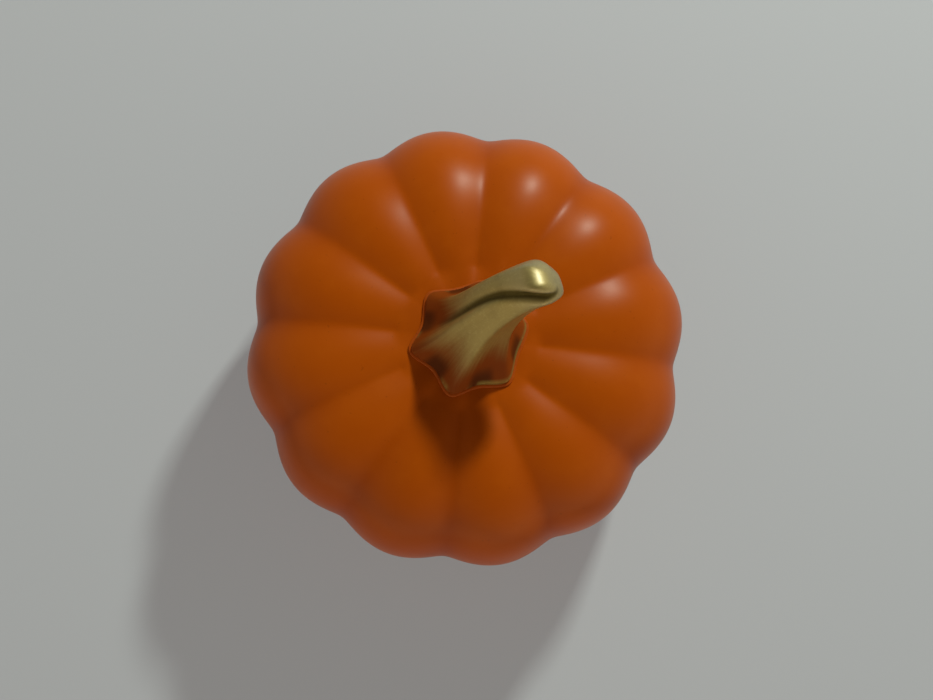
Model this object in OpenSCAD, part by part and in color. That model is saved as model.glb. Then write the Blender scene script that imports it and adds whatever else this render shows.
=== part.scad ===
// Ceramic pumpkin figure: a hollow glazed body with twelve lobes, a fluted gilt stem bedded on
// its crown with slip, and four felt feet under its foot ring. Sizes are in millimetres.
// The origin is on the table under the middle of the body, and +Z is up.

/* [Body] */
// Width across the lobe crests at the belly
body_w = 120; // [96:1:150]
// Height of the dome above the table, before the crown is dished
dome_h = 75; // [62:1:90]
// Height of the belly, the widest ring, above the table
belly_h = 37; // [30:1:46]
// Fullness of the profile, where 2 is an ellipse
fullness = 3.2; // [2:0.1:4]
// Thickness of the cast wall
wall = 4.5; // [3:0.5:6]

/* [Lobes] */
// Number of lobes
lobe_count = 12; // [8:1:16]
// Direction of the first lobe crest, in degrees from +X
lobe_turn = 9; // [0:1:45]
// Depth of the valleys between lobes at the belly
valley_depth = 2.8; // [1:0.1:4]
// Softness of the valleys' bottoms, where less is a sharper crease
valley_soft = 0.2; // [0.1:0.05:0.5]

/* [Crown] */
// Depth that the middle of the crown is dished
dish_depth = 7; // [0:0.5:10]
// Radius over which the dish dies away
dish_r = 30; // [20:1:36]
// Margin of flat seat around the stem's collar
seat_margin = 1.5; // [0.5:0.5:4]
// Radius of the socket bored through the crown
socket_r = 5.5; // [4:0.5:8]

/* [Base] */
// Outer radius of the foot ring
foot_r = 30; // [26:1:36]
// Width of the foot ring
foot_w = 9.5; // [8:0.5:12]
// Height of the foot ring below the base
foot_h = 2; // [1:0.1:3]
// Margin of flat base outside the foot ring
foot_margin = 1; // [0.5:0.5:3]
// Radius of the casting vent in the base
vent_r = 1.8; // [1:0.1:4]

/* [Stem] */
// Radius of the collar at its points
collar_r = 15; // [12:0.5:18]
// Mean depth of the scallops between the collar's points
scallop_depth = 2.5; // [2:0.1:5]
// How much deeper than that they are on the deep side, and shallower on the other
scallop_swing = 0.6; // [0:0.1:2]
// Direction of the deep side, in degrees from +X
scallop_turn = 205; // [0:1:359]
// Number of ridges
ridge_count = 6; // [4:1:8]
// Direction of the first ridge, in degrees from +X
ridge_turn = 12; // [0:1:90]
// Twist of the ridges from collar to tip, in degrees
ridge_twist = 60; // [-60:1:60]
// Height of the ridges at the tip
tip_ridge_h = 0.3; // [0.1:0.1:1.5]
// Radius of the stem in its flutes above the collar
stem_r = 5; // [4:0.1:7]
// Radius of the stem in its flutes at the tip
tip_r = 5.6; // [4:0.1:8]
// Length over which the tip is rounded
tip_l = 4.6; // [3:0.1:8]
// Fullness of the tip's rounding, where 2 is an ellipse
tip_fullness = 2.6; // [2:0.1:4]
// Length of the stem along its curve
stem_l = 39; // [30:1:48]
// Direction that the stem leans above the collar, in degrees from +X
lean_turn = 65; // [0:1:359]
// Turn of that direction from collar to tip, in degrees
lean_swing = -35; // [-45:1:45]
// Lean of the stem at the collar, in degrees from upright
start_lean = 16; // [0:1:30]
// Lean of the stem at its tip, in degrees from upright
lean = 54; // [40:1:75]
// Height of the collar's edge
lip_h = 0.8; // [0.5:0.1:2]
// Height over which the collar's flare dies away
flare_h = 11; // [6:0.5:14]
// Depth of the one deep flute that runs up to the tip
flute_depth = 1.7; // [0:0.1:3]
// Direction of the deep flute at the collar, in degrees from +X
flute_turn = 172; // [0:1:359]
// Half width of the deep flute where it runs straight up, in degrees round the stem
flute_w = 15; // [8:1:30]
// Turn of the deep flute over the tip, in degrees round the stem
flute_hook = 95; // [0:5:150]
// Length of the spigot in the socket
spigot_l = 10; // [6:0.5:14]

/* [Joint and feet] */
// Thickness of the slip between spigot and socket, and under the collar
lute_t = 0.8; // [0.4:0.1:1.5]
// Slip that stands out past the collar's edge
lute_bead = 0.8; // [0.2:0.1:1.5]
// Number of felt feet
felt_count = 4; // [3:1:6]
// Bare foot ring left on each side of a felt foot
felt_margin = 0.6; // [0.2:0.1:1.5]
// Thickness of a felt foot
felt_t = 1.2; // [0.8:0.1:2]

/* [Hidden] */
$fn = 96;

// Fineness of the skins: steps from the belly to either end or along the stem, steps round one lobe or
// ridge, and how far the stem's rings crowd towards the collar
skin_steps = 15;
lobe_steps = 8;
cavity_steps = 9;
cavity_lobe_steps = 6;
shank_steps = 20;
tip_steps = 6;
ridge_steps = 10;
ring_crowding = 1.5;

// Power at which the valleys fade, softness of a ridge's crest, how late the deep flute hooks over
// near the tip, and direction of the felt feet
valley_fade = 0.4;
ridge_soft = 0.3;
hook_power = 6;
felt_turn = 45;

belly_r = body_w / 2;
base_r = foot_r + foot_margin;
base_z = felt_t + foot_h;
felt_r = foot_w / 2 - felt_margin;
seat_r = collar_r + lute_bead + seat_margin;
spigot_r = socket_r - lute_t;

function dome(r) = pow(1 - pow(r / belly_r, fullness), 1 / fullness);
function crown_z(r) = belly_h + (dome_h - belly_h) * dome(r) - dish_depth * exp(-pow(r / dish_r, 2));
function under_z(r) = belly_h - (belly_h - base_z) * dome(r) / dome(base_r);
seat_z = crown_z(seat_r);
collar_z = seat_z + lute_t;

// Angle along the profile at which it has narrowed to radius r
function profile_angle(r) = acos(pow(r / belly_r, fullness / 2));
function profile_r(angle) = belly_r * pow(cos(angle), 2 / fullness);

// Share at an angle from one of count edges round the axis, 1 on the softened edge and 0 midway
// to the next
function edge_share(count, angle, soft) =
    let (full = norm([1, soft]))
    (full - norm([sin(count / 2 * angle), soft])) / (full - soft);

// Depth of the valley at azimuth turn as a share, 0 on a crest and 1 in the valley
function valley_share(turn) = edge_share(lobe_count, turn - lobe_turn - 180 / lobe_count, valley_soft);

// Valleys fade out between the belly and the calm radius at the seat or the foot
function valley_at(r, calm_r) = valley_depth * pow(max(0, r - calm_r) / (belly_r - calm_r), valley_fade);

// A point of the skin at a profile angle and an azimuth, sunk inwards by inset
function skin_point(angle, turn, inset) =
    let (
        r = profile_r(angle),
        z = angle < 0 ? under_z(r) : crown_z(r),
        calm_r = angle < 0 ? base_r : seat_r,
        reach = norm([r, z - belly_h]),
        k = 1 - (inset + valley_at(r, calm_r) * valley_share(turn)) / reach
    )
    [k * r * cos(turn), k * r * sin(turn), belly_h + k * (z - belly_h)];

// Faces of a closed skin of rings, wound to face outwards, with a middle point at each end
function ring_faces(rings, sides) =
    let (bottom = rings * sides, top = bottom + 1, last = (rings - 1) * sides)
    concat(
        [for (i = [0:rings - 2], j = [0:sides - 1]) let (k = (j + 1) % sides)
            each [[i * sides + j, (i + 1) * sides + j, i * sides + k],
                  [i * sides + k, (i + 1) * sides + j, (i + 1) * sides + k]]],
        [for (j = [0:sides - 1]) [bottom, j, (j + 1) % sides]],
        [for (j = [0:sides - 1]) [top, last + (j + 1) % sides, last + j]]
    );

// A closed lobed skin, sunk inwards by inset, with as many rings below the belly as above it
module lobed_skin(inset, half_rings, sides) {
    under_end = profile_angle(base_r);
    crown_end = profile_angle(seat_r);
    angles = [for (i = [-half_rings:half_rings]) (i < 0 ? under_end : crown_end) * i / half_rings];
    turns = [for (j = [0:sides - 1]) lobe_turn + 360 * j / sides];
    points = [for (a = angles, t = turns) skin_point(a, t, inset)];
    middles = [[0, 0, points[0].z], [0, 0, points[len(points) - 1].z]];
    polyhedron(concat(points, middles), ring_faces(len(angles), sides), convexity = 4);
}

// Ring that the body stands on, carried up into the wall above it
module foot_ring() {
    translate([0, 0, felt_t])
        rotate_extrude()
            translate([foot_r - foot_w, 0])
                square([foot_w, foot_h + wall / 2]);
}

// Tube of clay inside the crown that lengthens the socket
module socket_boss() {
    translate([0, 0, seat_z - spigot_l])
        cylinder(r = socket_r + wall, h = spigot_l);
}

module body() {
    color("darkorange")
        difference() {
            union() {
                lobed_skin(0, skin_steps, lobe_count * lobe_steps);
                foot_ring();
            }
            difference() {
                lobed_skin(wall, cavity_steps, lobe_count * cavity_lobe_steps);
                socket_boss();
            }
            translate([0, 0, seat_z - spigot_l - wall])
                cylinder(r = socket_r, h = spigot_l + 2 * wall);
            cylinder(r = vent_r, h = base_z + 2 * wall);
        }
}

// Flare of the collar at height s along the stem, 1 at its edge and fading above the lip
function flare(s) = exp(-max(0, s - lip_h) / flare_h);

// Rounding of the tip, 1 below it and falling to 0 at the end
function tip_dome(s) =
    let (into = max(0, s - (stem_l - tip_l)) / tip_l)
    pow(max(0, 1 - pow(into, tip_fullness)), 1 / tip_fullness);

// The same direction as an angle, from half a turn back to half a turn on
function half_turn(angle) = angle - 360 * round(angle / 360);

// Turn of the ridges at length s, and the further turn of the deep flute as it hooks over the tip
function twist(s) = ridge_twist * s / stem_l;
function hook(s) = flute_hook * pow(s / stem_l, hook_power);

// Depth of the collar's scallops towards a direction
function scallop(turn) = scallop_depth + scallop_swing * cos(turn - scallop_turn);

// Half width of the deep flute at length s, in degrees round a stem of radius r. It grows with the
// flute's slant, so that the flute stays as wide across.
function flute_span(s, r) =
    let (slant = ridge_twist + hook_power * flute_hook * pow(s / stem_l, hook_power - 1))
    flute_w * norm([1, r / stem_l * slant * PI / 180]);

// Radius of the stem at length s and azimuth turn
function stem_radius(s, turn) =
    let (
        untwisted = turn - twist(s),
        shank = stem_r + (tip_r - stem_r) * s / stem_l,
        flute = shank + (collar_r - scallop(untwisted) - shank) * flare(s),
        ridge = tip_ridge_h + (scallop(untwisted) - tip_ridge_h) * flare(s),
        crest = edge_share(ridge_count, untwisted - ridge_turn, ridge_soft),
        off = half_turn(untwisted - flute_turn - hook(s)) / flute_span(s, shank),
        groove = flute_depth * (1 - flare(s)) * tip_dome(s) * exp(-off * off)
    )
    (flute + ridge * crest - groove) * tip_dome(s);

// The stem's middle line is an arc whose direction swings round as it rises. Rings lie flat at the
// collar and square to the middle line above the flare.
bend_r = stem_l / ((lean - start_lean) * PI / 180);
function stem_point(s, turn) =
    let (
        along = s / stem_l,
        bend = start_lean + (lean - start_lean) * along,
        tilt = bend * (1 - flare(s)),
        aim = lean_turn + lean_swing * along,
        r = stem_radius(s, turn),
        inward = r * cos(turn - lean_turn),
        across = r * sin(turn - lean_turn),
        ahead = bend_r * (cos(start_lean) - cos(bend)) + inward * cos(tilt),
        up = bend_r * (sin(bend) - sin(start_lean)) - inward * sin(tilt)
    )
    [ahead * cos(aim) - across * sin(aim), ahead * sin(aim) + across * cos(aim), collar_z + up];

// The shaft's rings lie closer together in the collar's flare and over the tip, and its columns of
// points follow the deep flute
module stem_shaft() {
    shank_l = stem_l - tip_l;
    sides = ridge_count * ridge_steps;
    lengths = concat(
        [0],
        [for (i = [0:shank_steps]) lip_h + (shank_l - lip_h) * pow(i / shank_steps, ring_crowding)],
        [for (i = [1:tip_steps - 1]) shank_l + tip_l * sin(90 * i / tip_steps)]
    );
    turns = [for (j = [0:sides - 1]) ridge_turn + 360 * j / sides];
    points = [for (s = lengths, t = turns) stem_point(s, t + twist(s) + hook(s))];
    middles = [[0, 0, collar_z], stem_point(stem_l, 0)];
    polyhedron(concat(points, middles), ring_faces(len(lengths), sides), convexity = 4);
}

module stem() {
    color("darkgoldenrod")
        union() {
            stem_shaft();
            translate([0, 0, collar_z - spigot_l])
                cylinder(r = spigot_r, h = spigot_l + lip_h);
        }
}

// Outline of the collar, grown outwards by grow
module collar_outline(grow) {
    sides = ridge_count * ridge_steps;
    turns = [for (j = [0:sides - 1]) ridge_turn + 360 * j / sides];
    polygon([for (t = turns) (stem_radius(0, t) + grow) * [cos(t), sin(t)]]);
}

module stem_lute() {
    color("orangered")
        difference() {
            union() {
                translate([0, 0, seat_z])
                    linear_extrude(lute_t)
                        collar_outline(lute_bead);
                translate([0, 0, collar_z - spigot_l])
                    cylinder(r = socket_r, h = spigot_l);
            }
            translate([0, 0, collar_z - spigot_l - lute_t])
                cylinder(r = spigot_r, h = spigot_l + 2 * lute_t);
        }
}

module felt_foot(i) {
    color("dimgray")
        rotate(felt_turn + 360 * i / felt_count)
            translate([foot_r - foot_w / 2, 0, 0])
                cylinder(r = felt_r, h = felt_t);
}

body();
stem_lute();
stem();
for (i = [1:felt_count])
    felt_foot(i);
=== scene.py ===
"""A ceramic pumpkin figure: lobed body in satin orange glaze, fluted gold stem, bed of slip, felt feet."""
import math

import bpy
from mathutils import Matrix, Vector


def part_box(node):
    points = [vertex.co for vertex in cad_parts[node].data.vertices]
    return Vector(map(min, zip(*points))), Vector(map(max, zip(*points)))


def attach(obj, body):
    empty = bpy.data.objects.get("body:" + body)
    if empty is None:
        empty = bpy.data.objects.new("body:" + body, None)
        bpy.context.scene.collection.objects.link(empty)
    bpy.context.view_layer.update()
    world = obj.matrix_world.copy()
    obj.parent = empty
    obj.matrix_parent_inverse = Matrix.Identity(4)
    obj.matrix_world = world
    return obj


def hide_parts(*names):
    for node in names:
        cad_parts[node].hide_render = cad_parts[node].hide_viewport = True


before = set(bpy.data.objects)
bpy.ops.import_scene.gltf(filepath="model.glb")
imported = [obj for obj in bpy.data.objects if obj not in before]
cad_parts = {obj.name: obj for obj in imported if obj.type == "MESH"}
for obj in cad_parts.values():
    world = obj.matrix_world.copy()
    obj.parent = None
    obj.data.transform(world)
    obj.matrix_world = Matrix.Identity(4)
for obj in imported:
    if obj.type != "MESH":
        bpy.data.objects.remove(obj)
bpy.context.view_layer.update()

MM = 0.001

# Sizes of the body
BELLY_R = 60 * MM
BELLY_H = 37 * MM
DOME_H = 75 * MM
FULLNESS = 3.2
WALL = 4.5 * MM
LOBES = 12
LOBE_TURN = math.radians(9)
VALLEY_DEPTH = 2.8 * MM
VALLEY_SOFT = 0.2
VALLEY_FADE = 0.4
DISH_DEPTH = 7 * MM
DISH_R = 30 * MM
SOCKET_R = 5.5 * MM
FOOT_R = 30 * MM
FOOT_W = 9.5 * MM
FOOT_H = 2 * MM
FOOT_MARGIN = 1 * MM
FOOT_ROUNDING = 0.7 * MM
VENT_R = 1.8 * MM

# Sizes of the stem
COLLAR_R = 15 * MM
SCALLOP_DEPTH = 2.5 * MM
SCALLOP_SWING = 0.6 * MM
SCALLOP_TURN = math.radians(205)
RIDGES = 6
RIDGE_TURN = math.radians(12)
RIDGE_TWIST = math.radians(60)
RIDGE_SOFT = 0.3
TIP_RIDGE_H = 0.3 * MM
STEM_R = 5 * MM
TIP_R = 5.6 * MM
TIP_L = 4.6 * MM
TIP_FULLNESS = 2.6
STEM_L = 39 * MM
LEAN_TURN = math.radians(65)
LEAN_SWING = math.radians(-35)
START_LEAN = math.radians(16)
LEAN = math.radians(54)
LIP_H = 0.8 * MM
FLARE_H = 11 * MM
FLUTE_DEPTH = 1.7 * MM
FLUTE_TURN = math.radians(172)
FLUTE_W = math.radians(15)
FLUTE_HOOK = math.radians(95)
HOOK_POWER = 6
SPIGOT_L = 10 * MM

# The gold: how far its streaks are drawn out, the side kept gold (the far side gets a painted reflection
# of the orange body), and the side where the rim has gold, partly a painted highlight
STREAK_STRETCH = 4
GOLD_SIDE_TURN = math.radians(222)
RUB_AND_GLINT_TURN = math.radians(-20)

# Sizes of the felt feet
FELTS = 4
FELT_TURN = math.radians(45)
FELT_MARGIN = 0.6 * MM
FELT_ROUNDING = 6
FUZZ = 0.12 * MM
FIBRE_L = 0.9 * MM
FIBRE_R = 0.02 * MM
FIBRE_DENSITY = 8e6

# Sizes of the slip, and what the frame gives
LUTE_T = 0.8 * MM
LUTE_BEAD = 0.8 * MM
SEAT_MARGIN = 1.5 * MM
FELT_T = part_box("felt_foot_1")[1][2]
SEAT_R = COLLAR_R + LUTE_BEAD + SEAT_MARGIN
COLLAR_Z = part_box("stem_lute")[1][2]
SEAT_Z = COLLAR_Z - LUTE_T
BASE_R = FOOT_R + FOOT_MARGIN
BASE_Z = FELT_T + FOOT_H

# Fineness of the meshes, as points round the axis and rings along it
BODY_MESH = (LOBES * 32, 160)
CAVITY_MESH = (LOBES * 10, 48)
STEM_MESH = (RIDGES * 40, 220)
LUTE_MESH = (RIDGES * 40, 12)
FELT_MESH = (120, 12)
FOOT_SIDES = 240
ROD_SIDES = 96

# How far the stem's rings crowd towards its ends, which points count as one, and which edges stay sharp
END_CROWDING = 0.12
MERGE_DISTANCE = 0.002 * MM
SHARP_EDGE = math.radians(40)

# Colours of the finishes
GLAZE_DARK = (0.415, 0.072, 0.0005, 1)
GLAZE_LIGHT = (0.455, 0.082, 0.0009, 1)
GLAZE_MOTTLE = (0.48, 0.095, 0.0015, 1)
GLAZE_VALLEY_DARK = (0.27, 0.034, 0.0004, 1)
GLAZE_SPECK = (0.2, 0.036, 0.001, 1)
CLAY_DARK = (0.46, 0.34, 0.24, 1)
CLAY_LIGHT = (0.58, 0.46, 0.35, 1)
GOLD_DARK = (0.29, 0.22, 0.055, 1)
GOLD_LIGHT = (0.43, 0.335, 0.1, 1)
GOLD_DULL = (0.24, 0.175, 0.04, 1)
GOLD_FLAKE = (0.46, 0.38, 0.13, 1)
# The red-brown ground under thin gold, also used as a painted reflection of the orange body on one side of
# the stem
GROUND_AND_REFLECTION = (0.22, 0.044, 0.003, 1)
# Painted shade for the pockets between the ridges at the collar's foot
POCKET_SHADE = (0.05, 0.012, 0.002, 1)
# Painted shade for the gold's flute
FLUTE_SHADE = (0.04, 0.029, 0.011, 1)
SLIP_DARK = (0.34, 0.055, 0.0006, 1)
SLIP_LIGHT = (0.42, 0.074, 0.001, 1)
SLIP_GRAIN = (0.26, 0.04, 0.0006, 1)
FELT_DARK = (0.035, 0.035, 0.04, 1)
FELT_LIGHT = (0.12, 0.12, 0.125, 1)
FELT_CLOUD = (0.06, 0.055, 0.055, 1)

# The camera, from the photograph's 933 by 700 pixels
IMAGE_W = 933
IMAGE_H = 700
BODY_PX = (464.5, 349.8)
BODY_RADIUS_PX = 214.4
CAMERA_DISTANCE = 400 * MM
CAMERA_BACK = Vector((-0.034, -0.09, 1.0)).normalized()
CAMERA_NEAR = 10 * MM
SENSOR_MM = 36.0

# The floor, the key light and the room around them
FLOOR_HALF = 20.0
FLOOR_COLOUR = (0.34, 0.36, 0.40, 1)
FLOOR_GLOW = (0.15, 0.153, 0.158, 1)
NO_GLOW = (0, 0, 0, 1)
KEY_AZIMUTH = math.radians(63)
KEY_ELEVATION = math.radians(39)
KEY_DISTANCE = 0.9
KEY_SIZE = 0.08
KEY_POWER = 6.0
KEY_COLOUR = (0.95, 1.0, 0.86)
ROOM_FRONT = Vector((-0.05, -1.0)).normalized()
BACK_WALLS = (0.5, 0.455, 0.39, 1)
FRONT_WALLS = (3.3, 2.85, 2.05, 1)
CEILING = (0.02, 0.02, 0.02, 1)
CEILING_FADE = 0.28


class Wire:
    """An output socket of a node. Arithmetic on it adds Math nodes to its tree."""

    def __init__(self, graph, socket):
        self.graph = graph
        self.socket = socket

    def also(self, name):
        """Another output of the same node."""
        return Wire(self.graph, self.socket.node.outputs[name])

    def math(self, operation, *others):
        return self.graph.math(operation, self, *others)

    def __add__(self, other):
        return self.graph.math("ADD", self, other)

    def __sub__(self, other):
        return self.graph.math("SUBTRACT", self, other)

    def __rsub__(self, other):
        return self.graph.math("SUBTRACT", other, self)

    def __mul__(self, other):
        return self.graph.math("MULTIPLY", self, other)

    def __truediv__(self, other):
        return self.graph.math("DIVIDE", self, other)

    def __rtruediv__(self, other):
        return self.graph.math("DIVIDE", other, self)

    def __pow__(self, other):
        return self.graph.math("POWER", self, other)

    def __neg__(self):
        return self.graph.math("MULTIPLY", self, -1.0)

    __radd__ = __add__
    __rmul__ = __mul__


class Graph:
    """A node tree being built."""

    def __init__(self, tree):
        self.tree = tree

    def node(self, kind, settings=None, sockets=None, out=0):
        """Adds a node, sets its settings first, then the values or links of its sockets."""
        made = self.tree.nodes.new(kind)
        for name, value in (settings or {}).items():
            setattr(made, name, value)
        for key, value in (sockets or {}).items():
            for one in value if isinstance(value, list) else [value]:
                if isinstance(one, Wire):
                    self.tree.links.new(one.socket, made.inputs[key])
                else:
                    made.inputs[key].default_value = one
        return Wire(self, made.outputs[out])

    def math(self, operation, *values):
        return self.node("ShaderNodeMath", {"operation": operation}, dict(enumerate(values)))

    def combine(self, x, y, z):
        return self.node("ShaderNodeCombineXYZ", None, {"X": x, "Y": y, "Z": z})

    def smooth(self, value, low, high):
        """0 below low and 1 above high, with a soft step between them."""
        settings = {"interpolation_type": "SMOOTHSTEP"}
        sockets = {"Value": value, "From Min": low, "From Max": high}
        return self.node("ShaderNodeMapRange", settings, sockets)

    def mix(self, share, first, second):
        """The first colour at share 0 and the second at share 1."""
        sockets = {"Factor": share, 6: first, 7: second}
        return self.node("ShaderNodeMix", {"data_type": "RGBA"}, sockets, out=2)

    def noise(self, spot, scale, detail=2.0, roughness=0.5):
        sockets = {"Vector": spot, "Scale": scale, "Detail": detail, "Roughness": roughness}
        return self.node("ShaderNodeTexNoise", None, sockets)


# Geometry trees


def geometry_graph(name, sizes):
    """The graph of a new geometry tree with a named input for each size, and the inputs' wires."""
    tree = bpy.data.node_groups.new(name, "GeometryNodeTree")
    tree.interface.new_socket("Geometry", in_out="OUTPUT", socket_type="NodeSocketGeometry")
    for label, value in sizes.items():
        kind = "NodeSocketInt" if isinstance(value, int) else "NodeSocketFloat"
        tree.interface.new_socket(label, in_out="INPUT", socket_type=kind)
    entry = tree.nodes.new("NodeGroupInput")
    graph = Graph(tree)
    wires = {label: Wire(graph, entry.outputs[label]) for label in sizes}
    return graph, wires


def close_tree(graph, shape, material):
    """Ends a tree: smooth faces with sharp edges, instances made real, one material."""
    soft = graph.node("GeometryNodeInputMeshEdgeAngle").math("LESS_THAN", SHARP_EDGE)
    for domain, smooth in (("FACE", True), ("EDGE", soft)):
        sockets = {"Geometry": shape, "Shade Smooth": smooth}
        shape = graph.node("GeometryNodeSetShadeSmooth", {"domain": domain}, sockets)
    shape = graph.node("GeometryNodeRealizeInstances", None, {"Geometry": shape})
    shape = graph.node("GeometryNodeSetMaterial", None, {"Geometry": shape, "Material": material})
    exit_node = graph.tree.nodes.new("NodeGroupOutput")
    graph.tree.links.new(shape.socket, exit_node.inputs["Geometry"])


def grow(name, graph, sizes, node_names):
    """Evaluates a tree into a plain mesh piece that stands for CAD nodes."""
    piece = bpy.data.objects.new(name, bpy.data.meshes.new(name))
    bpy.context.scene.collection.objects.link(piece)
    modifier = piece.modifiers.new("shape", "NODES")
    modifier.node_group = graph.tree
    for item in graph.tree.interface.items_tree:
        if item.in_out == "INPUT":
            modifier[item.identifier] = sizes[item.name]
    evaluated = piece.evaluated_get(bpy.context.evaluated_depsgraph_get())
    mesh = bpy.data.meshes.new_from_object(evaluated)
    piece.modifiers.clear()
    piece.data = mesh
    mesh.name = name
    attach(piece, "root")
    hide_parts(*node_names)


def unit_tube(graph, sides, rings):
    """A closed tube of radius 1 from z -1 to 1. Its points are moved by a rule into a turned shape."""
    sockets = {"Vertices": sides, "Side Segments": rings, "Radius": 1.0, "Depth": 2.0}
    return graph.node("GeometryNodeMeshCylinder", {"fill_type": "TRIANGLE_FAN"}, sockets)


def place(graph):
    """X, Y and Z of each point before it is moved."""
    xyz = graph.node("ShaderNodeSeparateXYZ", None, {"Vector": graph.node("GeometryNodeInputPosition")})
    return xyz, xyz.also("Y"), xyz.also("Z")


def moved(graph, shape, x, y, z):
    """The shape with each point moved to x, y and z."""
    sockets = {"Geometry": shape, "Position": graph.combine(x, y, z)}
    return graph.node("GeometryNodeSetPosition", None, sockets)


def kept(graph, shape, name, value, kind="FLOAT"):
    """Keeps a value on the points under a name that the materials read."""
    sockets = {"Geometry": shape, "Name": name, "Value": value}
    return graph.node("GeometryNodeStoreNamedAttribute", {"data_type": kind, "domain": "POINT"}, sockets)


def rod(graph, radius, low, high):
    """A plain round rod on the axis, for bores and spigots."""
    sockets = {"Vertices": ROD_SIDES, "Radius": radius, "Depth": high - low}
    shape = graph.node("GeometryNodeMeshCylinder", {"fill_type": "NGON"}, sockets)
    middle = graph.combine(0.0, 0.0, (high + low) / 2)
    return graph.node("GeometryNodeTransform", None, {"Geometry": shape, "Translation": middle})


def joined(graph, first, second):
    settings = {"operation": "UNION", "solver": "MANIFOLD"}
    return graph.node("GeometryNodeMeshBoolean", settings, {"Mesh 2": [first, second]})


def cut(graph, shape, *cutters):
    settings = {"operation": "DIFFERENCE", "solver": "MANIFOLD"}
    return graph.node("GeometryNodeMeshBoolean", settings, {"Mesh 1": shape, "Mesh 2": list(cutters)})


def edge_share(count, turn, soft):
    """1 on a softened edge and 0 halfway to the next, for a count of edges and the angle from one."""
    full = (1 + soft * soft) ** 0.5
    swing = (turn * count / 2).math("SINE")
    return (full - (swing * swing + soft * soft) ** 0.5) / (full - soft)


# Body

BODY_SIZES = {
    "Belly radius": BELLY_R,
    "Belly height": BELLY_H,
    "Dome height": DOME_H,
    "Fullness": FULLNESS,
    "Wall": WALL,
    "Lobes": float(LOBES),
    "Lobe turn": LOBE_TURN,
    "Valley depth": VALLEY_DEPTH,
    "Valley softness": VALLEY_SOFT,
    "Valley fade": VALLEY_FADE,
    "Dish depth": DISH_DEPTH,
    "Dish radius": DISH_R,
    "Seat radius": SEAT_R,
    "Seat height": SEAT_Z,
    "Socket radius": SOCKET_R,
    "Socket depth": SPIGOT_L,
    "Base radius": BASE_R,
    "Base height": BASE_Z,
    "Foot radius": FOOT_R,
    "Foot width": FOOT_W,
    "Foot height": FOOT_H,
    "Foot rounding": FOOT_ROUNDING,
    "Vent radius": VENT_R,
}


def lobed_skin(graph, size, inset, sides, rings):
    """The closed lobed skin, sunk inwards by inset. It follows the same rule as the CAD body."""
    belly = size["Belly radius"]
    belly_z = size["Belly height"]
    full = size["Fullness"]
    x, y, along = place(graph)
    below = along.math("LESS_THAN", 0.0)

    def by_side(crown, under):
        return crown + below * (under - crown)

    def dome(radius):
        return (1 - (radius / belly) ** full) ** (1 / full)

    calm = by_side(size["Seat radius"], size["Base radius"])
    angle = along * ((calm / belly) ** (full / 2)).math("ARCCOSINE")
    radius = belly * angle.math("COSINE") ** (2 / full)
    dish = size["Dish depth"] * (-((radius / size["Dish radius"]) ** 2)).math("EXPONENT")
    crown_z = belly_z + (size["Dome height"] - belly_z) * dome(radius) - dish
    under_z = belly_z - (belly_z - size["Base height"]) * dome(radius) / dome(size["Base radius"])
    rise = by_side(crown_z, under_z) - belly_z

    turn = y.math("ARCTAN2", x) - size["Lobe turn"] - math.pi / size["Lobes"]
    share = edge_share(size["Lobes"], turn, size["Valley softness"])
    fade = ((radius - calm).math("MAXIMUM", 0.0) / (belly - calm)) ** size["Valley fade"]
    reach = (radius * radius + rise * rise) ** 0.5
    scale = 1 - (inset + size["Valley depth"] * share * fade) / reach

    skin = kept(graph, unit_tube(graph, sides, rings), "valley", share * fade)
    return moved(graph, skin, scale * radius * x, scale * radius * y, belly_z + scale * rise)


def foot_ring(graph, size):
    """The ring under the base, with rounded edges, carried up into the wall."""
    height = size["Foot height"] + size["Wall"] / 2
    middle_r = size["Foot radius"] - size["Foot width"] / 2
    sockets = {"Resolution": FOOT_SIDES, "Radius": middle_r}
    path = graph.node("GeometryNodeCurvePrimitiveCircle", None, sockets)
    box = graph.node("GeometryNodeCurvePrimitiveQuadrilateral", None, {0: size["Foot width"], 1: height})
    soft = graph.node("GeometryNodeFilletCurve", None, {"Curve": box, "Radius": size["Foot rounding"]})
    ring = graph.node("GeometryNodeCurveToMesh", None, {"Curve": path, "Profile Curve": soft})
    lift = graph.combine(0.0, 0.0, size["Base height"] - size["Foot height"] + height / 2)
    return graph.node("GeometryNodeTransform", None, {"Geometry": ring, "Translation": lift})


def make_body(glaze):
    """The hollow casting: a skin with a foot ring, cut by the cavity, the stem's socket and the vent."""
    graph, size = geometry_graph("pumpkin_body", BODY_SIZES)
    wall = size["Wall"]
    seat = size["Seat height"]
    base = size["Base height"]
    boss_low = seat - size["Socket depth"]
    outside = joined(graph, lobed_skin(graph, size, 0.0, *BODY_MESH), foot_ring(graph, size))
    boss = rod(graph, size["Socket radius"] + wall, boss_low, seat)
    cavity = cut(graph, lobed_skin(graph, size, wall, *CAVITY_MESH), boss)
    socket = rod(graph, size["Socket radius"], boss_low - wall, seat + wall)
    vent = rod(graph, size["Vent radius"], base - wall, base + 2 * wall)
    close_tree(graph, cut(graph, outside, cavity, socket, vent), glaze)
    grow("body_glazed", graph, BODY_SIZES, ["body"])


# Stem


def scallop(size, turn):
    """How deep the collar is scalloped at a direction. It isn't even all round."""
    return size["Scallop depth"] + size["Scallop swing"] * (turn - size["Scallop turn"]).math("COSINE")


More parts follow.
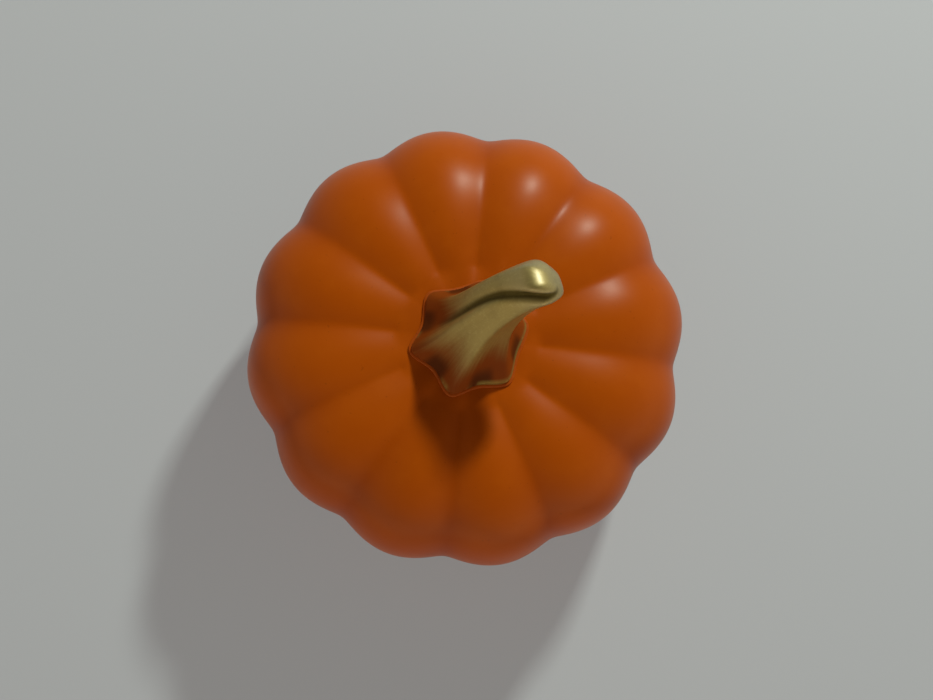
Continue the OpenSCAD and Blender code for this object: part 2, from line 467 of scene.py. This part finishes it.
STEM_SIZES = {
    "Collar height": COLLAR_Z,
    "Collar radius": COLLAR_R,
    "Scallop depth": SCALLOP_DEPTH,
    "Scallop swing": SCALLOP_SWING,
    "Scallop turn": SCALLOP_TURN,
    "Ridges": float(RIDGES),
    "Ridge turn": RIDGE_TURN,
    "Ridge twist": RIDGE_TWIST,
    "Ridge softness": RIDGE_SOFT,
    "Tip ridge height": TIP_RIDGE_H,
    "Stem radius": STEM_R,
    "Tip radius": TIP_R,
    "Tip length": TIP_L,
    "Tip fullness": TIP_FULLNESS,
    "Stem length": STEM_L,
    "Lean turn": LEAN_TURN,
    "Lean swing": LEAN_SWING,
    "Start lean": START_LEAN,
    "Lean": LEAN,
    "Lip height": LIP_H,
    "Flare height": FLARE_H,
    "Flute depth": FLUTE_DEPTH,
    "Flute turn": FLUTE_TURN,
    "Flute width": FLUTE_W,
    "Flute hook": FLUTE_HOOK,
    "Spigot radius": SOCKET_R - LUTE_T,
    "Spigot length": SPIGOT_L,
}


def stem_section(size, along, twisted):
    """The stem's thickness and dome, and how far a point is on a ridge, in the flute and in the flare."""
    length = size["Stem length"]
    reach = along * length
    past_lip = (reach - size["Lip height"]).math("MAXIMUM", 0.0)
    flare = (-(past_lip / size["Flare height"])).math("EXPONENT")
    depth = scallop(size, twisted)
    shank = size["Stem radius"] + (size["Tip radius"] - size["Stem radius"]) * along
    flat = shank + (size["Collar radius"] - depth - shank) * flare
    ridge_h = size["Tip ridge height"] + (depth - size["Tip ridge height"]) * flare
    ridge = edge_share(size["Ridges"], twisted - size["Ridge turn"], size["Ridge softness"])

    hook = size["Flute hook"] * along ** HOOK_POWER
    hook_rate = HOOK_POWER * size["Flute hook"] * along ** (HOOK_POWER - 1)
    sweep = shank / length * (size["Ridge twist"] + hook_rate)
    width = size["Flute width"] * (1 + sweep * sweep) ** 0.5
    off = (twisted - size["Flute turn"] - hook).math("WRAP", math.pi, -math.pi) / width
    into = (reach - length + size["Tip length"]).math("MAXIMUM", 0.0) / size["Tip length"]
    dome = (1 - into ** size["Tip fullness"]).math("MAXIMUM", 0.0) ** (1 / size["Tip fullness"])
    groove = (1 - flare) * dome * (-(off * off)).math("EXPONENT")
    thickness = flat + ridge_h * ridge - size["Flute depth"] * groove
    return thickness, dome, ridge, groove, flare


def bent(size, along, turn, radius, flare):
    """X, Y and Z of a point on the stem, whose middle line leans further and swings round as it rises."""
    start = size["Start lean"]
    bend = start + (size["Lean"] - start) * along
    bend_r = size["Stem length"] / (size["Lean"] - start)
    tilt = bend * (1 - flare)
    inward = radius * (turn - size["Lean turn"]).math("COSINE")
    across = radius * (turn - size["Lean turn"]).math("SINE")
    ahead = bend_r * (start.math("COSINE") - bend.math("COSINE")) + inward * tilt.math("COSINE")
    up = bend_r * (bend.math("SINE") - start.math("SINE")) - inward * tilt.math("SINE")
    aim = size["Lean turn"] + size["Lean swing"] * along
    x = ahead * aim.math("COSINE") - across * aim.math("SINE")
    y = ahead * aim.math("SINE") + across * aim.math("COSINE")
    return x, y, size["Collar height"] + up


def make_stem(gold):
    """The stem and its spigot. What the gold finish follows is kept on the points."""
    graph, size = geometry_graph("pumpkin_stem", STEM_SIZES)
    x, y, z = place(graph)
    share = (z + 1) / 2
    along = share - END_CROWDING * (share * math.tau).math("SINE")
    turn = y.math("ARCTAN2", x)
    twisted = turn - size["Ridge twist"] * along
    thickness, dome, ridge, groove, flare = stem_section(size, along, twisted)
    off_axis = (x * x + y * y) ** 0.5
    radius = off_axis * dome * thickness
    grain = graph.combine(twisted.math("COSINE"), twisted.math("SINE"), along / STREAK_STRETCH)

    shaft = unit_tube(graph, *STEM_MESH)
    shaft = kept(graph, shaft, "ridge", ridge)
    shaft = kept(graph, shaft, "groove", groove)
    shaft = kept(graph, shaft, "grain", grain, "FLOAT_VECTOR")
    shaft = kept(graph, shaft, "along", along)
    shaft = moved(graph, shaft, *bent(size, along, turn, radius, flare))
    sockets = {"Geometry": shaft, "Distance": MERGE_DISTANCE}
    shaft = graph.node("GeometryNodeMergeByDistance", None, sockets)
    low = size["Collar height"] - size["Spigot length"]
    spigot = rod(graph, size["Spigot radius"], low, size["Collar height"] + size["Lip height"])
    close_tree(graph, joined(graph, shaft, spigot), gold)
    grow("stem_gilded", graph, STEM_SIZES, ["stem"])


# Bed of slip

LUTE_SIZES = {
    "Seat height": SEAT_Z,
    "Thickness": LUTE_T,
    "Bead": LUTE_BEAD,
    "Collar radius": COLLAR_R,
    "Scallop depth": SCALLOP_DEPTH,
    "Scallop swing": SCALLOP_SWING,
    "Scallop turn": SCALLOP_TURN,
    "Ridges": float(RIDGES),
    "Ridge turn": RIDGE_TURN,
    "Ridge softness": RIDGE_SOFT,
    "Socket radius": SOCKET_R,
    "Spigot length": SPIGOT_L,
}


def make_lute(slip):
    """Slip under the collar and round the spigot, which bulges out round the collar's edge."""
    graph, size = geometry_graph("slip_bed", LUTE_SIZES)
    seat = size["Seat height"]
    thickness = size["Thickness"]
    socket_r = size["Socket radius"]
    top = seat + thickness
    low = top - size["Spigot length"]
    x, y, z = place(graph)
    turn = y.math("ARCTAN2", x)
    ridge = edge_share(size["Ridges"], turn - size["Ridge turn"], size["Ridge softness"])
    edge = size["Collar radius"] + scallop(size, turn) * (ridge - 1)
    bulge = size["Bead"] * (1 - z * z).math("MAXIMUM", 0.0) ** 0.5
    radius = edge + bulge
    height = seat + thickness * (z + 1) / 2
    bed = moved(graph, unit_tube(graph, *LUTE_MESH), radius * x, radius * y, height)
    filling = rod(graph, socket_r, low, seat + thickness / 2)
    bore = rod(graph, socket_r - thickness, low - thickness, top + thickness)
    close_tree(graph, cut(graph, joined(graph, bed, filling), bore), slip)
    grow("slip_bed", graph, LUTE_SIZES, ["stem_lute"])


# Felt feet

FELT_SIZES = {
    "Turn": FELT_TURN,
    "Ring radius": FOOT_R - FOOT_W / 2,
    "Radius": FOOT_W / 2 - FELT_MARGIN,
    "Thickness": FELT_T,
    "Fuzz": FUZZ,
    "Fibre length": FIBRE_L,
    "Fibre radius": FIBRE_R,
    "Fibres per area": FIBRE_DENSITY,
    "Seed": 0,
}


def felt_pad(graph, size):
    """A round pad with softened edges, smaller all round than its CAD disc by the height of the fuzz."""
    x, y, z = place(graph)
    soft = (1 - z.math("ABSOLUTE") ** FELT_ROUNDING) ** (1 / FELT_ROUNDING)
    sockets = {0: graph.node("GeometryNodeInputPosition"), 1: size["Seed"]}
    spot = graph.node("ShaderNodeVectorMath", {"operation": "ADD"}, sockets)
    lumps = graph.noise(spot, 5.0)
    radius = size["Radius"] - size["Fuzz"] * (1 + lumps) - size["Thickness"] / 4 * (1 - soft)
    height = size["Fuzz"] + (size["Thickness"] - size["Fuzz"]) * (z + 1) / 2
    return moved(graph, unit_tube(graph, *FELT_MESH), radius * x, radius * y, height)


def fibres(graph, size, pad):
    """Short bowed threads that lie at random all over the pad."""
    reach = size["Fibre length"] / 2
    thread = graph.node("GeometryNodeCurveQuadraticBezier", None, {
        "Resolution": 4,
        "Start": graph.combine(-reach, 0.0, 0.0),
        "Middle": graph.combine(0.0, reach, size["Fuzz"]),
        "End": graph.combine(reach, 0.0, 0.0),
    })
    sockets = {"Resolution": 3, "Radius": size["Fibre radius"]}
    section = graph.node("GeometryNodeCurvePrimitiveCircle", None, sockets)
    thread = graph.node("GeometryNodeCurveToMesh", None, {"Curve": thread, "Profile Curve": section})
    roots = graph.node("GeometryNodeDistributePointsOnFaces", None, {
        "Mesh": pad,
        "Density": size["Fibres per area"],
        "Seed": size["Seed"],
    })
    sockets = {"Max": math.tau, "Seed": size["Seed"]}
    spin = graph.node("FunctionNodeRandomValue", {"data_type": "FLOAT"}, sockets, out=1)
    about = graph.node("FunctionNodeAxisAngleToRotation", None, {"Axis": (0.0, 0.0, 1.0), "Angle": spin})
    facing = graph.node("FunctionNodeRotateRotation", {"rotation_space": "LOCAL"}, {
        "Rotation": roots.also("Rotation"),
        "Rotate By": about,
    })
    sockets = {"Points": roots, "Instance": thread, "Rotation": facing}
    return graph.node("GeometryNodeInstanceOnPoints", None, sockets)


def make_felt_feet(felt):
    """Pads with fibres under the foot ring. No fibre reaches below the table."""
    graph, size = geometry_graph("felt_foot", FELT_SIZES)
    pad = felt_pad(graph, size)
    foot = graph.node("GeometryNodeJoinGeometry", None, {"Geometry": [pad, fibres(graph, size, pad)]})
    out = graph.combine(size["Ring radius"], 0.0, 0.0)
    foot = graph.node("GeometryNodeTransform", None, {"Geometry": foot, "Translation": out})
    about = graph.combine(0.0, 0.0, size["Turn"])
    foot = graph.node("GeometryNodeTransform", None, {"Geometry": foot, "Rotation": about})
    foot = graph.node("GeometryNodeRealizeInstances", None, {"Geometry": foot})
    x, y, z = place(graph)
    foot = moved(graph, foot, x, y, z.math("MAXIMUM", 0.0))
    close_tree(graph, foot, felt)
    for count in range(1, FELTS + 1):
        turn = FELT_TURN + count * math.tau / FELTS
        sizes = FELT_SIZES | {"Turn": turn, "Seed": count}
        grow(f"felt_{count}", graph, sizes, [f"felt_foot_{count}"])


# Materials


def material_graph(name):
    """A new material, its graph and its principled shader."""
    material = bpy.data.materials.new(name)
    material.use_nodes = True
    graph = Graph(material.node_tree)
    shader = material.node_tree.nodes["Principled BSDF"]
    return material, graph, shader


def feed(graph, shader, **wires):
    """Links wires to the shader's sockets, with underscores for spaces."""
    for name, wire in wires.items():
        graph.tree.links.new(wire.socket, shader.inputs[name.replace("_", " ")])


def fix(shader, **values):
    """Sets what is the same all over the surface on the shader's sockets, with underscores for spaces."""
    for name, value in values.items():
        shader.inputs[name.replace("_", " ")].default_value = value


def attribute(graph, name, out="Fac"):
    """A value that the geometry tree kept on the points."""
    return graph.node("ShaderNodeAttribute", {"attribute_name": name}, out=out)


def bump(graph, height, strength, distance):
    sockets = {"Height": height, "Strength": strength, "Distance": distance}
    return graph.node("ShaderNodeBump", None, sockets)


def orange_glaze():
    """Satin orange glaze, darker and redder along the valleys, over pale clay left bare under the foot."""
    material, graph, shader = material_graph("orange_glaze")
    spot = graph.node("ShaderNodeTexCoord", out="Object")
    valley = attribute(graph, "valley")
    cloud = graph.noise(spot, 22.0, 4.0, 0.6)
    mottle = graph.noise(spot, 160.0, 3.0, 0.6)
    peel = graph.noise(spot, 420.0, 2.0)
    speck = graph.noise(spot, 900.0, 1.0)
    glaze = graph.mix(graph.smooth(cloud, 0.3, 0.7), GLAZE_DARK, GLAZE_LIGHT)
    glaze = graph.mix(graph.smooth(mottle, 0.45, 0.75) * 0.25, glaze, GLAZE_MOTTLE)
    # Darker and redder along the valleys.
    glaze = graph.mix(valley ** 3 * 0.45, glaze, GLAZE_VALLEY_DARK)
    glaze = graph.mix(graph.smooth(speck, 0.74, 0.78) * 0.3, glaze, GLAZE_SPECK)

    height = graph.node("ShaderNodeSeparateXYZ", None, {"Vector": spot}, out="Z")
    edge = height + 0.8 * MM * (mottle - 0.5)
    bare = 1 - graph.smooth(edge, FELT_T + 0.5 * FOOT_H, FELT_T + 0.8 * FOOT_H)
    clay = graph.mix(mottle, CLAY_DARK, CLAY_LIGHT)
    rough = 0.31 + 0.05 * cloud + 0.05 * mottle
    relief = peel * 0.4 + mottle * 0.6 + bare * graph.noise(spot, 1500.0, 2.0)
    feed(graph, shader, Base_Color=graph.mix(bare, glaze, clay), Roughness=rough + bare * (0.9 - rough))
    feed(graph, shader, Normal=bump(graph, relief, 0.25, 0.06 * MM))
    fix(shader, Specular_IOR_Level=0.14)
    return material


def gold_finish():
    """Gold in streaks along the twist, with painted shade in the flute and in the pockets at the collar's
    foot.

    It thins out over a red-brown ground towards the collar's foot. One side stays gold and the far side
    turns to the orange ground, a painted reflection of the orange body. Gold along the rim is rubbed on,
    kept mostly to the side where the light catches it, partly a painted highlight.
    """
    material, graph, shader = material_graph("gold_finish")
    spot = graph.node("ShaderNodeTexCoord", out="Object")
    ridge = attribute(graph, "ridge")
    groove = attribute(graph, "groove")
    along = attribute(graph, "along")
    grain = attribute(graph, "grain", "Vector")
    side = graph.node("ShaderNodeSeparateXYZ", None, {"Vector": grain})

    def facing(turn):
        """How far a point of the stem faces a direction, from -1 to 1."""
        return math.cos(turn) * side + math.sin(turn) * side.also("Y")

    streak = graph.noise(grain, 14.0, 5.0, 0.65)
    mottle = graph.noise(spot, 260.0, 3.0, 0.6)
    flakes = graph.noise(spot, 1500.0, 2.0, 0.6)
    gold = graph.mix(streak, GOLD_DARK, GOLD_LIGHT)
    gold = graph.mix(graph.smooth(mottle, 0.5, 0.8) * 0.5, gold, GOLD_DULL)
    gold = graph.mix(graph.smooth(flakes, 0.5, 0.7) * 0.4, gold, GOLD_FLAKE)

    # Gold stays on the side facing the turn above; the far side shows the orange ground, a painted
    # reflection of the orange body.
    gold_side = graph.smooth(facing(GOLD_SIDE_TURN), 0.4, 0.9)
    cover = graph.smooth(along + 0.16 * (streak - 0.5) + 0.05 * ridge + 0.1 * gold_side, 0.18, 0.5)
    # A gilded rim, rubbed in places, kept mostly to the side where the light catches it: partly real gold,
    # partly a painted highlight.
    rubbed_and_glint = graph.smooth(graph.noise(grain, 2.5, 3.0) + 0.15 * facing(RUB_AND_GLINT_TURN), 0.45, 0.6)
    rim = (1 - graph.smooth(along, 0.02, 0.05)) * rubbed_and_glint
    thin_and_reflected = (1 - cover) * (1 - 0.6 * rim)
    sunk = graph.smooth(groove, 0.2, 0.8)
    # Painted shade: the pockets between the ridges at the collar's foot are darkened.
    pocket_shade = (1 - graph.smooth(along, 0.06, 0.16)) * (1 - graph.smooth(ridge, 0.1, 0.5))
    ground_and_reflection = graph.mix(pocket_shade * 0.75, GROUND_AND_REFLECTION, POCKET_SHADE)
    # Painted shade: the flute is darkened.
    colour = graph.mix(sunk * 0.7, graph.mix(thin_and_reflected, gold, ground_and_reflection), FLUTE_SHADE)
    rough = 0.54 + 0.12 * streak + 0.12 * sunk
    polish = 0.4 + 0.6 * graph.smooth(along, 0.7, 0.95)
    relief = streak * 0.6 + mottle * 0.3 + flakes * 0.3
    feed(graph, shader, Base_Color=colour, Metallic=1 - thin_and_reflected, Roughness=rough)
    feed(graph, shader, Coat_Weight=cover * (1 - sunk) * polish)
    feed(graph, shader, Normal=bump(graph, relief, 0.4, 0.08 * MM))
    fix(shader, Coat_Roughness=0.42, Coat_IOR=1.8, Specular_IOR_Level=0.1)
    return material


def orange_slip():
    """Fired slip squeezed out round the collar: the glaze's orange, duller, with pits and grains."""
    material, graph, shader = material_graph("orange_slip")
    spot = graph.node("ShaderNodeTexCoord", out="Object")
    cloud = graph.noise(spot, 200.0, 3.0)
    grains = graph.noise(spot, 1400.0, 2.0, 0.6)
    colour = graph.mix(cloud, SLIP_DARK, SLIP_LIGHT)
    colour = graph.mix(graph.smooth(grains, 0.58, 0.7) * 0.6, colour, SLIP_GRAIN)
    feed(graph, shader, Base_Color=colour, Roughness=0.45 + 0.2 * grains)
    feed(graph, shader, Normal=bump(graph, cloud + 0.5 * grains, 0.4, 0.1 * MM))
    fix(shader, Specular_IOR_Level=0.17)
    return material


def grey_felt():
    """Pressed felt: grey with lighter and darker strands, quite matt."""
    material, graph, shader = material_graph("grey_felt")
    spot = graph.node("ShaderNodeTexCoord", out="Object")
    strands = graph.noise(spot, 2500.0, 4.0, 0.7)
    cloud = graph.noise(spot, 300.0, 2.0)
    colour = graph.mix(strands, FELT_DARK, FELT_LIGHT)
    colour = graph.mix(cloud * 0.5, colour, FELT_CLOUD)
    feed(graph, shader, Base_Color=colour, Roughness=0.88 + 0.12 * strands)
    feed(graph, shader, Normal=bump(graph, strands, 0.5, 0.05 * MM))
    fix(shader, Specular_IOR_Level=0.1, Sheen_Weight=0.3)
    return material


def pale_floor():
    """A plain pale floor. It glows to the eye and in reflections, which softens the shadow on it."""
    material, graph, shader = material_graph("pale_floor")
    path = graph.node("ShaderNodeLightPath", out="Is Camera Ray")
    mirrored = path.also("Is Glossy Ray").math("MAXIMUM", path.also("Is Transmission Ray"))
    seen = path.math("MAXIMUM", mirrored)
    feed(graph, shader, Emission_Color=graph.mix(seen, NO_GLOW, FLOOR_GLOW))
    fix(shader, Base_Color=FLOOR_COLOUR, Roughness=0.8, Emission_Strength=1.0)
    return material


# Stage


def make_floor():
    corners = [(x * FLOOR_HALF, y * FLOOR_HALF, 0) for x, y in ((-1, -1), (1, -1), (1, 1), (-1, 1))]
    mesh = bpy.data.meshes.new("floor")
    mesh.from_pydata(corners, [], [(0, 1, 2, 3)])
    mesh.materials.append(pale_floor())
    floor = bpy.data.objects.new("floor", mesh)
    bpy.context.scene.collection.objects.link(floor)


def make_camera():
    """Looks down at the belly from the photograph's angle, with the body at its place in the frame."""
    data = bpy.data.cameras.new("camera")
    data.sensor_width = SENSOR_MM
    data.lens = BODY_RADIUS_PX * CAMERA_DISTANCE / BELLY_R / IMAGE_W * SENSOR_MM
    data.clip_start = CAMERA_NEAR
    camera = bpy.data.objects.new("camera", data)
    right = (Vector((1, 0, 0)) - CAMERA_BACK * CAMERA_BACK.x).normalized()
    up = CAMERA_BACK.cross(right)
    pixel = BELLY_R / BODY_RADIUS_PX
    aside = right * (IMAGE_W / 2 - BODY_PX[0]) * pixel + up * (BODY_PX[1] - IMAGE_H / 2) * pixel
    camera.rotation_mode = "QUATERNION"
    camera.rotation_quaternion = Matrix((right, up, CAMERA_BACK)).transposed().to_quaternion()
    camera.location = Vector((0, 0, BELLY_H)) + CAMERA_BACK * CAMERA_DISTANCE + aside
    bpy.context.scene.collection.objects.link(camera)
    bpy.context.scene.camera = camera


def make_key_light():
    """A small square light that faces the body from behind on the right."""
    data = bpy.data.lights.new("key", "AREA")
    data.size = KEY_SIZE
    data.energy = KEY_POWER
    data.color = KEY_COLOUR
    light = bpy.data.objects.new("key", data)
    flat = math.cos(KEY_ELEVATION)
    away = Vector((flat * math.cos(KEY_AZIMUTH), flat * math.sin(KEY_AZIMUTH), math.sin(KEY_ELEVATION)))
    light.location = Vector((0, 0, BELLY_H)) + away * KEY_DISTANCE
    light.rotation_mode = "QUATERNION"
    light.rotation_quaternion = away.to_track_quat("Z", "Y")
    bpy.context.scene.collection.objects.link(light)


def make_room():
    """The light of a room with a dark ceiling and walls that are palest in front."""
    world = bpy.data.worlds.new("pale_room")
    bpy.context.scene.world = world
    world.use_nodes = True
    graph = Graph(world.node_tree)
    aim = graph.node("ShaderNodeTexCoord", out="Generated")
    along = graph.node("ShaderNodeSeparateXYZ", None, {"Vector": aim})
    front = 0.5 + 0.5 * (ROOM_FRONT.x * along + ROOM_FRONT.y * along.also("Y"))
    walls = graph.mix(front, BACK_WALLS, FRONT_WALLS)
    overhead = along.also("Z").math("MAXIMUM", 0.0) ** CEILING_FADE
    light = graph.mix(overhead, walls, CEILING)
    backdrop = world.node_tree.nodes["Background"]
    graph.tree.links.new(light.socket, backdrop.inputs["Color"])


make_camera()
make_key_light()
make_room()
make_floor()
make_body(orange_glaze())
make_stem(gold_finish())
make_lute(orange_slip())
make_felt_feet(grey_felt())

bpy.context.scene.view_settings.view_transform = "Standard"
